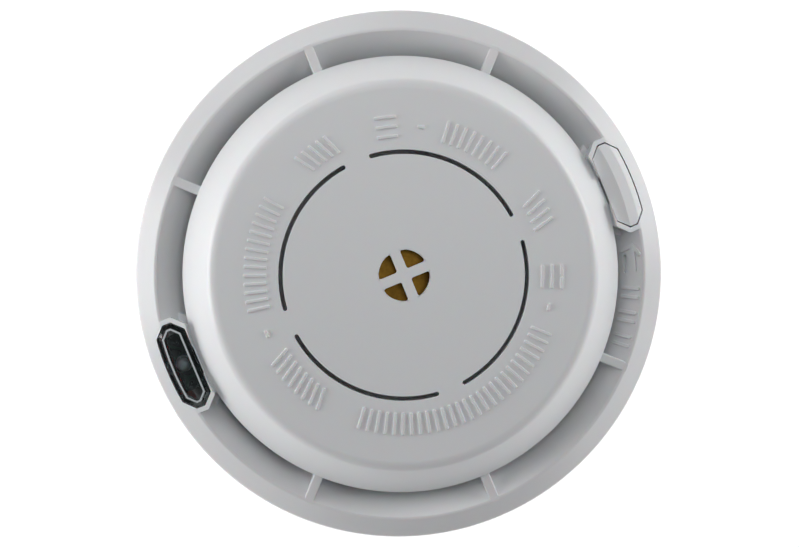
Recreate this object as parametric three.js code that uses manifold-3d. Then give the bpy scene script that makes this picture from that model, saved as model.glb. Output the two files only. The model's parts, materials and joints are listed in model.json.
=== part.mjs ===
// Ceiling heat detector: a round battery alarm whose head twists onto a flat mounting plate.
// It stands on the back of that plate with its face up: +Z points out of the ceiling into the room,
// +X points at the test button, and the origin is the centre of the plate's back. Millimetres.
import * as THREE from "three";
import { mergeVertices } from "three/addons/utils/BufferGeometryUtils.js";
import Module from "manifold-3d";

const wasm = await Module();
wasm.setup();

// Overall sizes.
const bodyDiameter = 115;
const overallHeight = 38.5;

// Clearances: between mouldings, under a seated face, and round a screw's shank.
const gap = 0.3;
const seat = 0.1;
const shankGap = 0.25;

// Front ring: skirt, sloping rim and air channel in one moulding, round the chamber deck.
const rimWidth = 4.7;
const rimFall = 1.8;
const rimRound = 2.4;
const channelWidth = 5.5;
const channelDepth = 5.2;
const skirtWall = 1.9;
const skirtDraft = 2;
const floorWall = 1.4;
const spokeWidth = 2.1;
const spokeInset = 2.3;
const spokeAngles = [45, 90, 135, 225, 270, 315];
const lipWidth = 2.7;

// Chamber deck: the floor of the sensing chamber, screwed up under the front ring.
const deckFlange = 2;
const deckFlangeDepth = 0.9;
const housingPilotDepth = 11.5;
const sensorHoleRadius = 2.4;

// Sounder cap: the raised disc with the bevelled edge.
const bevelWidth = 6.2;
const bevelHeight = 7.5;
const edgeBand = 2.1;
const capWall = 2;
const slotCircle = 26.3;
const slotWidth = 0.95;
const slotSweep = 76;
const soundHoleRadius = 5.5;
const soundCrossBar = 2.2;
const capPilotDepth = 9;

// Octagonal windows in the channel, one for the test button and one for the indicator lens.
const windowLength = 19.4;
const windowReach = 2;
const windowRise = 2.2;
const windowChamfer = 2.4;
const collarWall = 1;
const collarFoot = 1.4;
const flangeReach = 0.8;
const flangeHeight = 1;

// Test button: cap, stem and the collar that the coil spring pushes on; and the lens's hollow.
const buttonWall = 1.5;
const buttonRoof = 1.6;
const stemRadius = 1.4;
const buttonCollarRadius = 3;
const springTurns = 3;
const springWire = 0.22;
const springCoil = 2.25;
const lensHollowRadius = 2.3;
const lensRoof = 1.7;

// Mounting plate and its bayonet.
const plateThickness = 2.6;
const plateInset = 2.3;
const cableHoleRadius = 16;
const screwSlotCircle = 30;
const screwSlotWidth = 4.8;
const screwSlotLength = 17;
const screwHeadWidth = 8.8;
const screwHeadDepth = 1.5;
const hookCount = 4;
const hookSweep = 14;
const hookWall = 1.7;
const hookRoof = 1.5;
const hookClearance = 0.4;
const stopSweep = 2.2;
const firstHookAngle = 45;
const lugSweep = 12;
const lugReach = 2.6;
const lugHeight = 1.8;

// Rear housing: the tray that carries the board and the battery.
const trayInset = 9;
const trayWall = 1.6;
const bayWall = 1.4;
const boardThickness = 1.6;
const boardHeight = 8.7;
const postRadius = 2.8;
const boardPostRadius = 2.6;
const screwCupRadius = 4.1;
const leadNotchWidth = 6;

// Parts on the board.
const earReach = 2.4;
const earWidth = 13;
const chipWidth = 3.9;
const chipHeight = 1.5;
const pinPitch = 1.27;
const pinReach = 1.1;
const pinHalfWidth = 0.2;
const pinThickness = 0.25;
const coilPlace = [25, 3];
const coilRadius = 4;
const coilCoreRadius = 3.3;
const coilTall = 5;
const coilHeadroom = 0.8;
const capacitorPlace = [2, 26];
const capacitorWidth = 4.8;
const capacitorLength = 11.6;
const sensorRise = 2.2;
const sensorLeadRadius = 0.25;
const sensorLeadHalf = 0.8;
const sensorBeadRadius = 1.3;
const sensorBeadTall = 1.15;
const switchHalf = 3;
const switchHeight = 3.5;
const plungerRadius = 1.6;
const plungerRise = 0.8;
const plungerGap = 0.3;
const ledRadius = 1.5;
const ledFlange = 0.35;
const ledHeight = 5.3;

// Nine-volt block battery and its snap connector.
const batteryLength = 46.4;
const batteryWidth = 26.2;
const batteryHeight = 17.4;
const batteryCentreY = -24.1;
const terminalPitch = 12.7;
const terminalHeight = 2.9;
const snapPlateThickness = 2;
const snapPlateHalf = 6.2;
const snapRivet = 0.4;
const studRadius = 2.8;
const socketRadius = 4.3;
const socketBore = 3.2;
const caseRound = 1.6;
const leadRadius = 0.55;

// Piezo sounder.
const piezoRadius = 17.5;
const piezoThickness = 0.35;
const ceramicRadius = 12.5;
const ceramicThickness = 0.25;
const soundCavity = 2.3;
const gasketHeight = 0.5;
const gasketWidth = 1.2;
const retainerWidth = 3;
const retainerHeight = 1.5;
const solderGap = 0.05;
const wireHole = [0, 14];
const wireHoleRadius = 2.6;
const sounderWireRadius = 0.5;

// Screws.
const screwShank = 1.25;
const screwHead = 2.3;
const screwHeadHeight = 1.5;
const pilotRadius = screwShank + shankGap;
const housingScrewLength = 12;
const capScrewLength = 8;
const boardScrewLength = 6;

// Places that follow from the sizes above.
const bodyRadius = bodyDiameter / 2;
const rimInner = bodyRadius - rimWidth;
const capRadius = rimInner - channelWidth;
const faceRadius = capRadius - bevelWidth;
const capEdgeTop = overallHeight - bevelHeight;
const capBottom = capEdgeTop - edgeBand;
const rimTop = capBottom - 0.4;
const floorTop = rimTop - channelDepth;
const floorBottom = floorTop - floorWall;
const lipRadius = capRadius - gap - lipWidth;
const deckRadius = lipRadius - gap;
const deckBottom = floorBottom - seat - deckFlangeDepth;
const skirtBottom = plateThickness + 0.4;
const trayBottom = plateThickness + 0.6;
const trayFloorTop = trayBottom + trayWall;
const trayRadius = bodyRadius - trayInset;
const boardBottom = trayFloorTop + boardHeight;
const boardTop = boardBottom + boardThickness;
const coilHeight = Math.min(coilTall, deckBottom - boardTop - coilHeadroom);
const capacitorRadius = Math.min(capacitorWidth, coilHeight - seat * 2) / 2;
const faceUnder = overallHeight - capWall;
const windowOuter = rimInner + windowReach;
const windowInner = capRadius + gap;
const windowMiddle = (windowOuter + windowInner) / 2;
const windowTop = rimTop - 0.2;
const rampTop = rimTop + windowRise;
const collarBottom = floorTop + 1;
const flangeTop = collarBottom - gap;
const flangeBottom = flangeTop - flangeHeight;
const batteryBottom = trayBottom + 0.2;
const terminalZ = batteryBottom + batteryHeight / 2;
const connectorDepth = terminalHeight + gap + snapRivet + snapPlateThickness;
const batteryMinX = (connectorDepth - batteryLength) / 2;
const batteryMaxX = batteryMinX + batteryLength;
const snapPlateX = batteryMinX - connectorDepth;
const snapPlateTop = terminalZ + snapPlateHalf;
const leadCrossing = snapPlateTop + 1.4;
const bay = {
  minX: snapPlateX - 0.6,
  maxX: batteryMaxX + gap,
  minY: batteryCentreY - batteryWidth / 2 - gap,
  maxY: batteryCentreY + batteryWidth / 2 + gap,
};
const bayTop = floorBottom - gap;
const housingPosts = [-28, 58, 122, 208].map((angle) => polar(trayRadius - 5.3, angle));
const capPosts = [90, 210, 330].map((angle) => polar(faceRadius - 5, angle));
const boardPosts = [
  polar(trayRadius - 7.5, 90),
  polar(trayRadius - 10.5, 18),
  polar(trayRadius - 10.5, 162),
];
const sensorSpots = [polar(trayRadius - 5.5, 67.5), polar(trayRadius - 5.5, 112.5)];
const ledgeZ = faceUnder - soundCavity;
const gasketTop = ledgeZ - seat;
const piezoTop = gasketTop - gasketHeight - seat;
const piezoBottom = piezoTop - piezoThickness;
const ceramicTop = piezoBottom - solderGap;
const ceramicBottom = ceramicTop - ceramicThickness;
const soundRingRadius = piezoRadius + 2.1;
const switchTop = boardTop + switchHeight;
const plungerTop = switchTop + plungerRise;
const ledTop = windowTop - 2.5;
const ledFoot = ledTop - ledHeight;
const sensorTop = floorTop + sensorRise;
const lugTop = trayFloorTop + lugHeight;
const hookUnder = lugTop + hookClearance;
const hookTop = hookUnder + hookRoof;
const studY = batteryCentreY - terminalPitch / 2;
const socketY = batteryCentreY + terminalPitch / 2;
const terminalMaxX = batteryMinX - 0.02;
const terminalMinX = batteryMinX - terminalHeight;
const snapFaceX = snapPlateX + snapPlateThickness;

// Facets round a full turn, for bodies, for bosses and for small holes and pins.
const bigRound = 48;
const smallRound = 12;
const tinyRound = 8;

// How far a joined piece runs into its neighbour, and a cutter past the face it cuts.
const overlap = 0.5;
const cutPast = 1;

const materials = {
  casing: material(0xe9eaea, 0.38),
  plate: material(0xe4e4e0, 0.5),
  tray: material(0xdcdcd8, 0.5),
  clear: material(0xbfd0d4, 0.08),
  board: material(0x0f4a34, 0.45),
  black: material(0x17181a, 0.5),
  brass: material(0xb08a3c, 0.35, 1),
  ceramic: material(0xe6e1d2, 0.6),
  silicone: material(0xb9bcbc, 0.7),
  steel: material(0xb9bcc0, 0.35, 1),
  tinned: material(0xcfd2d4, 0.3, 1),
  battery: material(0x23262b, 0.4),
  redWire: material(0xa81e1c, 0.5),
  blackWire: material(0x151515, 0.5),
  sleeve: material(0x1d2a44, 0.4),
  led: material(0xe8e6e0, 0.25),
};

function material(color, roughness, metalness = 0) {
  return new THREE.MeshStandardMaterial({ color, roughness, metalness });
}

function polar(radius, degrees) {
  const angle = THREE.MathUtils.degToRad(degrees);
  return [radius * Math.cos(angle), radius * Math.sin(angle)];
}

// A closed geometry as a solid that can be joined and cut.
function solid(geometry) {
  const bare = geometry.index ? geometry.toNonIndexed() : geometry.clone();
  bare.deleteAttribute("normal");
  bare.deleteAttribute("uv");
  const merged = mergeVertices(bare, 1e-4);
  const vertProperties = new Float32Array(merged.attributes.position.array);
  const triVerts = new Uint32Array(merged.index.array);
  return new wasm.Manifold(new wasm.Mesh({ numProp: 3, vertProperties, triVerts }));
}

function geometryOf(body) {
  const mesh = body.getMesh();
  const geometry = new THREE.BufferGeometry();
  const positions = new Float32Array(mesh.vertProperties);
  geometry.setAttribute("position", new THREE.BufferAttribute(positions, 3));
  geometry.setIndex(new THREE.BufferAttribute(new Uint32Array(mesh.triVerts), 1));
  const flat = geometry.toNonIndexed();
  flat.computeVertexNormals();
  return flat;
}

// Turns a closed outline of [radius, height] points, listed anticlockwise, round the Z axis.
function turned(points, segments = bigRound) {
  const profile = points.map(([radius, height]) => new THREE.Vector2(radius, height));
  return solid(new THREE.LatheGeometry(profile, segments).rotateX(Math.PI / 2));
}

// A ring of rectangular section.
function ring(innerRadius, outerRadius, bottom, top, segments = bigRound) {
  const corners = [
    [innerRadius, bottom],
    [outerRadius, bottom],
    [outerRadius, top],
    [innerRadius, top],
    [innerRadius, bottom],
  ];
  return turned(corners, segments);
}

function block(minX, maxX, minY, maxY, minZ, maxZ) {
  const geometry = new THREE.BoxGeometry(maxX - minX, maxY - minY, maxZ - minZ);
  return solid(geometry.translate((minX + maxX) / 2, (minY + maxY) / 2, (minZ + maxZ) / 2));
}

function cylinder([x, y], radius, bottom, top, segments = smallRound) {
  const geometry = new THREE.CylinderGeometry(radius, radius, top - bottom, segments);
  return solid(geometry.rotateX(Math.PI / 2).translate(x, y, (bottom + top) / 2));
}

// A cylinder lying along X.
function rod(minX, maxX, y, z, radius, segments = smallRound) {
  const geometry = new THREE.CylinderGeometry(radius, radius, maxX - minX, segments);
  return solid(geometry.rotateZ(Math.PI / 2).translate((minX + maxX) / 2, y, z));
}

function prism(shape, bottom, top, curveSegments = 4) {
  const options = { depth: top - bottom, bevelEnabled: false, curveSegments };
  return solid(new THREE.ExtrudeGeometry(shape, options).translate(0, 0, bottom));
}

function turn(body, degrees) {
  return body.rotate([0, 0, degrees]);
}

function joined(bodies) {
  return bodies.reduce((sum, body) => sum.add(body));
}

function without(body, cutters) {
  return cutters.reduce((rest, cutter) => rest.subtract(cutter), body);
}

// A part of a ring between two angles, with square ends.
function ringSector(innerRadius, outerRadius, fromDegrees, toDegrees, bottom, top, curveSegments = 4) {
  const from = THREE.MathUtils.degToRad(fromDegrees);
  const to = THREE.MathUtils.degToRad(toDegrees);
  const shape = new THREE.Shape();
  shape.absarc(0, 0, outerRadius, from, to, false);
  shape.absarc(0, 0, innerRadius, to, from, true);
  return prism(shape, bottom, top, curveSegments);
}

// A slot that follows a circle, with round ends.
function curvedSlot(circle, width, centreDegrees, sweepDegrees, bottom, top) {
  const half = sweepDegrees / 2;
  const sector = [circle - width / 2, circle + width / 2, centreDegrees - half, centreDegrees + half];
  const ends = [-half, half].map((offset) => {
    return cylinder(polar(circle, centreDegrees + offset), width / 2, bottom, top, tinyRound);
  });
  return joined([ringSector(...sector, bottom, top), ...ends]);
}

// A plain wire of six sides along a smooth curve through the points.
function wire(points, radius, steps) {
  const path = new THREE.CatmullRomCurve3(points.map((point) => new THREE.Vector3(...point)));
  const section = new THREE.Shape();
  section.absarc(0, 0, radius, 0, Math.PI * 2, false);
  const options = { steps, extrudePath: path, curveSegments: 3 };
  return solid(new THREE.ExtrudeGeometry(section, options));
}

// A pan-head screw whose head lies under the seat and whose shank points up.
function panScrew([x, y], seatZ, shankLength) {
  const headBottom = seatZ - screwHeadHeight;
  const profile = [
    [0, headBottom],
    [screwHead * 0.75, headBottom],
    [screwHead, headBottom + screwHeadHeight * 0.5],
    [screwHead, seatZ],
    [screwShank, seatZ],
    [screwShank, seatZ + shankLength - screwShank],
    [0, seatZ + shankLength],
  ];
  const arm = screwHead * 0.45;
  const slotArm = screwHead * 0.12;
  const recessTop = headBottom + screwHeadHeight * 0.5;
  const cross = joined([
    block(-arm, arm, -slotArm, slotArm, headBottom - 1, recessTop),
    block(-slotArm, slotArm, -arm, arm, headBottom - 1, recessTop),
  ]);
  return turned(profile, tinyRound).subtract(cross).translate([x, y, 0]);
}

// The octagon of a window, drawn for the one at +X and grown by an offset on every side.
function windowShape(grow = 0) {
  const chamfer = windowChamfer + grow * (2 - Math.SQRT2);
  const half = windowLength / 2 + grow;
  const outer = windowOuter + grow;
  const inner = windowInner - grow;
  const cornerX = Math.sqrt(outer ** 2 - (half - chamfer) ** 2);
  const cornerAngle = Math.atan2(half - chamfer, cornerX);
  const shape = new THREE.Shape();
  shape.moveTo(inner, -(half - chamfer));
  shape.lineTo(inner + chamfer, -half);
  shape.lineTo(cornerX - chamfer, -half);
  shape.absarc(0, 0, outer, -cornerAngle, cornerAngle, false);
  shape.lineTo(cornerX - chamfer, half);
  shape.lineTo(inner + chamfer, half);
  shape.lineTo(inner, half - chamfer);
  shape.closePath();
  return shape;
}

function windowPrism(grow, bottom, top) {
  return prism(windowShape(grow), bottom, top, 3);
}

// Everything inside the outer surface of the front ring, used to trim what is added to it. Over the
// windows that surface climbs from the rim to the edge of the sounder cap.
function ringEnvelope() {
  return turned([
    [0, skirtBottom],
    [bodyRadius - skirtDraft, skirtBottom],
    [bodyRadius, rimTop - rimFall - rimRound * 2],
    [bodyRadius, rimTop - rimFall - rimRound],
    [bodyRadius - rimRound * 0.12, rimTop - rimFall - rimRound * 0.55],
    [bodyRadius - rimRound * 0.42, rimTop - rimFall],
    [rimInner + 0.3, rimTop],
    [windowInner + seat, rampTop],
    [windowInner + seat, windowTop],
    [0, windowTop],
  ]);
}

// The skirt, rim, channel slope and the flat lip at its foot as one wall.
function ringWall() {
  const slopeFoot = capRadius - gap;
  const underRim = rimTop - rimFall - skirtWall;
  return turned([
    [lipRadius, floorBottom],
    [slopeFoot - 0.6, floorBottom],
    [rimInner - 0.8, underRim + 0.2],
    [bodyRadius - skirtWall - 0.9, underRim - 0.4],
    [bodyRadius - skirtWall, underRim - rimRound],
    [bodyRadius - skirtWall, rimTop - rimFall - rimRound * 2],
    [bodyRadius - skirtDraft - skirtWall + 0.1, skirtBottom],
    [bodyRadius - skirtDraft, skirtBottom],
    [bodyRadius, rimTop - rimFall - rimRound * 2],
    [bodyRadius, rimTop - rimFall - rimRound],
    [bodyRadius - rimRound * 0.12, rimTop - rimFall - rimRound * 0.55],
    [bodyRadius - rimRound * 0.42, rimTop - rimFall],
    [rimInner + 0.3, rimTop],
    [rimInner, rimTop - 0.2],
    [slopeFoot, floorTop],
    [lipRadius, floorTop],
    [lipRadius, floorBottom],
  ]);
}

function frontRing() {
  const spokes = spokeAngles.map((angle) => {
    const half = spokeWidth / 2;
    const inner = capRadius - spokeInset;
    return turn(block(inner, rimInner + 0.8, -half, half, floorTop - 0.4, rimTop), angle);
  });
  const collar = joined([
    windowPrism(collarWall, floorBottom, rampTop),
    windowPrism(flangeReach + gap + collarFoot, floorBottom, collarBottom + 1),
  ]);
  const collars = [collar, turn(collar, 180)];
  const added = joined([...spokes, ...collars]).intersect(ringEnvelope());
  const opening = joined([
    windowPrism(0, floorBottom - 6, rimTop + 5),
    windowPrism(flangeReach + gap, floorBottom - 6, collarBottom),
  ]);
  return without(joined([ringWall(), added]), [opening, turn(opening, 180)]);
}

// The floor of the sensing chamber. Its flange lies under the ring's lip, its notches key it to the
// windows, and its posts reach down to the rear housing.
function chamberDeck() {
  const postFoot = trayFloorTop + screwHeadHeight + seat + gap;
  const disc = cylinder([0, 0], deckRadius, deckBottom, floorTop, bigRound);
  const flange = cylinder([0, 0], deckRadius + deckFlange, deckBottom, floorBottom - seat, bigRound);
  const posts = housingPosts.map((spot) => cylinder(spot, postRadius, postFoot, deckBottom + overlap));
  const bayRoof = block(
    bay.minX - bayWall - gap,
    bay.maxX + bayWall + gap,
    bay.minY - bayWall - gap,
    bay.maxY + bayWall + gap,
    deckBottom - cutPast,
    floorBottom,
  );
  const notchReach = flangeReach + gap + collarFoot + gap;
  const notch = windowPrism(notchReach, deckBottom - cutPast, floorTop + cutPast);
  const pilotTop = postFoot + housingPilotDepth;
  const pilots = housingPosts.map((spot) => cylinder(spot, pilotRadius, 0, pilotTop, tinyRound));
  const through = [deckBottom - cutPast, floorTop + cutPast];
  const holes = [
    ...capPosts.map((spot) => cylinder(spot, pilotRadius, ...through, tinyRound)),
    ...capPosts.map((spot) => cylinder(spot, screwHead + gap, deckBottom - cutPast, floorBottom)),
    ...sensorSpots.map((spot) => cylinder(spot, sensorHoleRadius, ...through)),
    cylinder(wireHole, wireHoleRadius, ...through),
  ];
  return without(joined([disc, flange, ...posts]), [bayRoof, notch, turn(notch, 180), ...pilots, ...holes]);
}

function soundHole() {
  const half = soundCrossBar / 2;
  const reach = Math.sqrt(soundHoleRadius ** 2 - half ** 2);
  const angle = Math.atan2(half, reach);
  const shape = new THREE.Shape();
  shape.moveTo(half, half);
  shape.lineTo(reach, half);
  shape.absarc(0, 0, soundHoleRadius, angle, Math.PI / 2 - angle, false);
  shape.closePath();
  return prism(shape, faceUnder - cutPast, overallHeight + cutPast, 3);
}

function sounderCap() {
  const shell = turned([
    [0, faceUnder],
    [faceRadius - 1.2, faceUnder],
    [capRadius - capWall, capEdgeTop - 0.4],
    [capRadius - capWall, capBottom],
    [capRadius - 0.4, capBottom],
    [capRadius, capBottom + 0.6],
    [capRadius, capEdgeTop],
    [faceRadius + 0.9, overallHeight - 0.7],
    [faceRadius - 0.7, overallHeight],
    [0, overallHeight],
  ]);
  const ringBottom = piezoBottom - ceramicThickness - retainerHeight - 1;
  const soundRing = ring(piezoRadius + 0.5, soundRingRadius, ringBottom, faceUnder + overlap, 36);
  const ledge = ring(piezoRadius - 1.3, soundRingRadius, ledgeZ, faceUnder + overlap, 36);
  const bosses = capPosts.map((spot) => cylinder(spot, postRadius, floorTop + gap, faceUnder + overlap));
  const pilotTop = floorTop + gap + capPilotDepth;
  const pilots = capPosts.map((spot) => cylinder(spot, pilotRadius, floorTop, pilotTop, 10));
  const slots = [45, 135, 225, 315].map((angle) => {
    return curvedSlot(slotCircle, slotWidth, angle, slotSweep, faceUnder - cutPast, overallHeight + cutPast);
  });
  const holes = [0, 90, 180, 270].map((angle) => turn(soundHole(), angle));
  return without(joined([shell, soundRing, ledge, ...bosses]), [...pilots, ...slots, ...holes]);
}

// The button is drawn in place at +X: a hollow cap over a retaining flange and a stem.
function testButton() {
  const cap = windowPrism(-gap, flangeBottom, rampTop);
  const flange = windowPrism(flangeReach, flangeBottom, flangeTop);
  const hollowTop = windowTop - buttonRoof;
  const hollow = windowPrism(-gap - buttonWall, flangeBottom - cutPast, hollowTop);
  const spot = [windowMiddle, 0];
  const stem = cylinder(spot, stemRadius, plungerTop + plungerGap, hollowTop + 0.2, 12);
  const collar = cylinder(spot, buttonCollarRadius, flangeBottom, hollowTop + 0.2);
  const trimmed = cap.intersect(ringEnvelope());
  return joined([without(joined([trimmed, flange]), [hollow]), collar, stem]);
}

// A coil of wire round the button's stem, standing on the switch.
function buttonSpring() {
  const stepsPerTurn = 9;
  const steps = springTurns * stepsPerTurn;
  const bottom = switchTop + springWire + seat;
  const height = flangeBottom - springWire - seat - bottom;
  const points = [];
  for (let i = 0; i <= steps; i += 1) {
    const angle = (i / stepsPerTurn) * Math.PI * 2;
    const x = windowMiddle + springCoil * Math.cos(angle);
    const y = springCoil * Math.sin(angle);
    points.push([x, y, bottom + (i / steps) * height]);
  }
  return wire(points, springWire, steps);
}

// The clear window over the indicator: a solid octagon with a long hollow open at the back.
function indicatorLens() {
  const body = joined([
    windowPrism(-gap, flangeBottom, rampTop),
    windowPrism(flangeReach, flangeBottom, flangeTop),
  ]);
  const hollow = new THREE.Shape();
  const half = windowLength / 2 - 5.2;
  hollow.absarc(windowMiddle, half, lensHollowRadius, 0, Math.PI, false);
  hollow.absarc(windowMiddle, -half, lensHollowRadius, Math.PI, Math.PI * 2, false);
  const trimmed = body.intersect(ringEnvelope());
  const cutter = prism(hollow, flangeBottom - cutPast, windowTop - lensRoof);
  return turn(trimmed.subtract(cutter), 180);
}

// One bayonet hook: a wall, a lip that reaches in over the lug, and a stop at one end.
function bayonetHook(centre) {
  const hookInner = trayRadius + 0.6;
  const wallInner = trayRadius + lugReach + gap;
  const wallOuter = wallInner + hookWall;
  const end = centre + hookSweep / 2;
  const stopTo = centre - lugSweep / 2 - hookClearance;
  const start = stopTo - stopSweep;
  const base = plateThickness - overlap;
  return joined([
    ringSector(wallInner, wallOuter, start, end, base, hookTop, 4),
    ringSector(hookInner, wallOuter, start, end, hookUnder, hookTop, 4),
    ringSector(hookInner, wallOuter, start, stopTo, base, hookTop, 2),
  ]);
}

function bayonetAngles() {
  return Array.from({ length: hookCount }, (_, i) => firstHookAngle + (i * 360) / hookCount);
}

function mountingPlate() {
  const top = plateThickness + cutPast;
  const disc = cylinder([0, 0], bodyRadius - plateInset, 0, plateThickness, bigRound);
  const sweep = THREE.MathUtils.radToDeg((screwSlotLength - screwSlotWidth) / screwSlotCircle);
  const headFloor = plateThickness - screwHeadDepth;
  const holes = [cylinder([0, 0], cableHoleRadius, -cutPast, top, 32)];
  for (let angle = 0; angle < 360; angle += 90) {
    holes.push(
      curvedSlot(screwSlotCircle, screwSlotWidth, angle, sweep, -cutPast, top),
      curvedSlot(screwSlotCircle, screwHeadWidth, angle, sweep, headFloor, top),
    );
  }
  return without(joined([disc, ...bayonetAngles().map(bayonetHook)]), holes);
}

function bayonetLug(centre) {
  const half = lugSweep / 2;
  const inner = trayRadius - trayWall;
  return ringSector(inner, trayRadius + lugReach, centre - half, centre + half, trayFloorTop, lugTop, 4);
}

// The tray: a floor with the battery bay let into it, posts for the board and cups for the screws.
function rearHousing() {
  const floor = cylinder([0, 0], trayRadius, trayBottom, trayFloorTop, bigRound);
  const wall = ring(trayRadius - trayWall, trayRadius, trayBottom, boardBottom - gap);
  const bayOuter = block(
    bay.minX - bayWall,
    bay.maxX + bayWall,
    bay.minY - bayWall,
    bay.maxY + bayWall,
    trayBottom,
    bayTop,
  );
  const inside = cylinder([0, 0], trayRadius, trayBottom, bayTop, bigRound);
  const bayInner = block(bay.minX, bay.maxX, bay.minY, bay.maxY, 0, bayTop + 1);
  const notchX = bay.minX + 0.5;
  const notchBottom = leadCrossing - 1.8;
  const notchMaxX = notchX + leadNotchWidth;
  const leadNotch = block(notchX, notchMaxX, bay.maxY - 1, bay.maxY + 3, notchBottom, bayTop + 1);
  const screwSeat = trayFloorTop + seat;
  const cupTop = screwSeat + screwHeadHeight;
  const cups = housingPosts.map((spot) => cylinder(spot, screwCupRadius, trayBottom, cupTop));
  const cupHoles = housingPosts.flatMap((spot) => [
    cylinder(spot, screwHead + gap, 0, screwSeat),
    cylinder(spot, pilotRadius, 0, screwSeat + 5, 10),
  ]);
  const posts = boardPosts.map((spot) => {
    return cylinder(spot, boardPostRadius, trayFloorTop - overlap, boardBottom - seat);
  });
  const postHoles = boardPosts.map((spot) => {
    return cylinder(spot, pilotRadius, trayFloorTop + 1, boardBottom + 1, 10);
  });
  const lugs = bayonetAngles().map(bayonetLug);
  const whole = joined([floor, wall, bayOuter.intersect(inside), ...cups, ...posts, ...lugs]);
  return without(whole, [bayInner, leadNotch, ...cupHoles, ...postHoles]);
}

// A disc cut straight along the battery bay, with an ear each side for the switch and the indicator.
function circuitBoard() {
  const cutY = bay.maxY + bayWall + 0.4;
  const disc = cylinder([0, 0], trayRadius + 0.8, boardBottom, boardTop, bigRound);
  const earX = windowMiddle + earReach;
  const ears = block(-earX, earX, -earWidth / 2, earWidth / 2, boardBottom, boardTop);
  const far = bodyRadius * 2;
  const holes = [
    block(-far, far, -far, cutY, boardBottom - 1, boardTop + 1),
    ...housingPosts.map((spot) => cylinder(spot, postRadius + gap, boardBottom - 1, boardTop + 1)),
    ...boardPosts.map((spot) => cylinder(spot, pilotRadius, boardBottom - 1, boardTop + 1, 10)),
  ];
  return without(disc.add(ears), holes);
}

// A chip lying on the board, with flat legs out of both long sides.
function chip([x, y], length, pins) {
  const bottom = boardTop + seat;
  const half = chipWidth / 2;
  const reach = half + pinReach;
  const legs = [];
  for (let i = 0; i < pins; i += 1) {
    const legX = (i - (pins - 1) / 2) * pinPitch;
    const legTop = bottom + pinThickness;
    legs.push(block(legX - pinHalfWidth, legX + pinHalfWidth, -reach, reach, bottom, legTop));
  }
  const bodyBottom = bottom + 0.1;
  const body = block(-length / 2, length / 2, -half, half, bodyBottom, bodyBottom + chipHeight);
  return joined([body, ...legs]).translate([x, y, 0]);
}

// A ferrite bobbin: two round flanges with the winding between them.
function boostCoil() {
  const bottom = boardTop + seat;
  const top = bottom + coilHeight;
  const profile = [
    [0, bottom],
    [coilRadius, bottom],
    [coilRadius, bottom + 0.9],
    [coilCoreRadius, bottom + 1.1],
    [coilCoreRadius, top - 1.1],
    [coilRadius, top - 0.9],
    [coilRadius, top],
    [0, top],
  ];
  return turned(profile, 20).translate([...coilPlace, 0]);
}

// A can lying on its side, with the crimped groove near its open end.
function storageCapacitor() {
  const [minX, y] = capacitorPlace;
  const maxX = minX + capacitorLength;
  const z = boardTop + seat + capacitorRadius;
  return joined([
    rod(minX, maxX - 1.2, y, z, capacitorRadius),
    rod(maxX - 1.2, maxX - 0.7, y, z, capacitorRadius - 0.35),
    rod(maxX - 0.7, maxX, y, z, capacitorRadius),
  ]);
}

// A hairpin of lead wire that stands on the board and passes up through the chamber floor.
function sensorLeads([x, y]) {
  const half = sensorLeadHalf;
  const thick = sensorLeadRadius;
  const legs = [-half, half].map((side) => {
    return cylinder([x + side, y], thick, boardTop + seat, sensorTop, tinyRound);
  });
  const bend = block(x - half, x + half, y - thick, y + thick, sensorTop - thick * 2, sensorTop);
  return joined([...legs, bend]);
}

// The drop of epoxy that holds the thermistor at the top of its leads.
function sensorBead([x, y]) {
  const tall = sensorBeadRadius * sensorBeadTall;
  const bead = new THREE.SphereGeometry(sensorBeadRadius, 12, 8).scale(1, 1, sensorBeadTall);
  return solid(bead.rotateX(Math.PI / 2).translate(x, y, sensorTop + seat + tall));
}

function switchBody() {
  const minX = windowMiddle - switchHalf;
  const maxX = windowMiddle + switchHalf;
  return block(minX, maxX, -switchHalf, switchHalf, boardTop + seat, switchTop);
}

function switchPlunger() {
  return cylinder([windowMiddle, 0], plungerRadius, switchTop + 0.35, plungerTop);
}

function statusLed() {
  const profile = [
    [0, ledFoot],
    [ledRadius + ledFlange, ledFoot],
    [ledRadius + ledFlange, ledFoot + 1],
    [ledRadius, ledFoot + 1],
    [ledRadius, ledTop - ledRadius],
    [ledRadius * 0.87, ledTop - ledRadius / 2],
    [ledRadius / 2, ledTop - ledRadius * 0.13],
    [0, ledTop],
  ];
  return turned(profile, smallRound).translate([-windowMiddle, 0, 0]);
}

// The tube that holds the indicator up off the board.
function ledSpacer() {
  const spot = [-windowMiddle, 0];
  return cylinder(spot, ledRadius + 0.3, boardTop + seat, ledFoot - seat);
}

function piezoDisc() {
  return cylinder([0, 0], piezoRadius, piezoBottom, piezoTop, 36);
}

function piezoCeramic() {
  return cylinder([0, 0], ceramicRadius, ceramicBottom, ceramicTop, 24);
}

function soundGasket() {
  return ring(piezoRadius - gasketWidth, piezoRadius, gasketTop - gasketHeight, gasketTop, 24);
}

function piezoRetainer() {
  const top = piezoBottom - seat;
  return ring(piezoRadius - retainerWidth, piezoRadius + 0.2, top - retainerHeight, top, 24);
}

// Wires from the sounder, through the chamber floor, to the board.
function sounderWire(side, startRadius, startZ) {
  const x = side * 1.1;
  const [, holeY] = wireHole;
  return wire(
    [
      [side * 3.5, startRadius, startZ],
      [side * 3.5, startRadius, startZ - 1.5],
      [x, holeY, floorTop + 3],
      [x, holeY, floorTop],
      [x, holeY, floorBottom - 1.5],
      [side * 2.4, holeY - 1.5, boardTop + 2],
      [side * 2.4, holeY - 1.5, boardTop + seat],
    ],
    sounderWireRadius,
    14,
  );
}

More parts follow.
